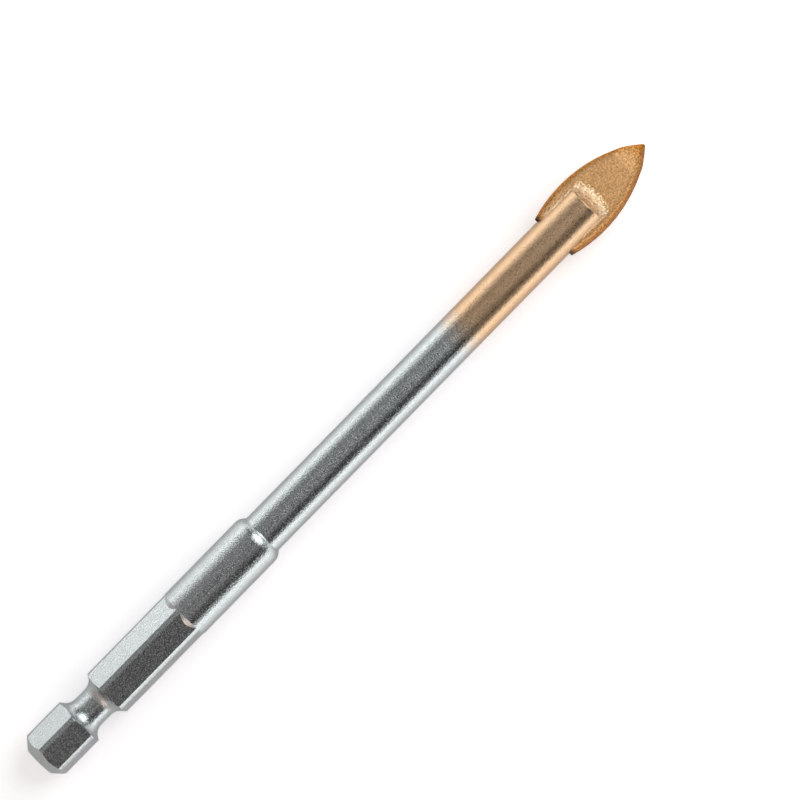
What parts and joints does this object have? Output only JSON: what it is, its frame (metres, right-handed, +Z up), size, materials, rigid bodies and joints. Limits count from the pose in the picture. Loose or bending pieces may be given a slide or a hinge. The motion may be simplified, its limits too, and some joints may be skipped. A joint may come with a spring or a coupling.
{
  "type": "glass and tile drill bit",
  "caption": "Drill bit for glass and tile: a round steel shaft with a hexagonal quick-change shank and a brazed, spear-pointed carbide plate with a gold coating.",
  "frame": {"origin": "on the surface that the bit lies on, under the middle of its length", "axes": "+X along the bit's axis from the shank's end face to the point, +Z up, with the faces of the carbide plate level"},
  "size_m": [0.107, 0.008, 0.0069],
  "materials": {
    "plated_steel": "blasted and nickel plated, matte, with a gold coating on the front third",
    "coated_carbide": "sintered carbide with a matte gold coating",
    "coated_braze": "solidified braze under a matte gold coating"
  },
  "bodies": {
    "root": {"steel_body": "plated_steel", "carbide_tip": "coated_carbide", "braze_joint": "coated_braze"}
  },
  "joints": []
}
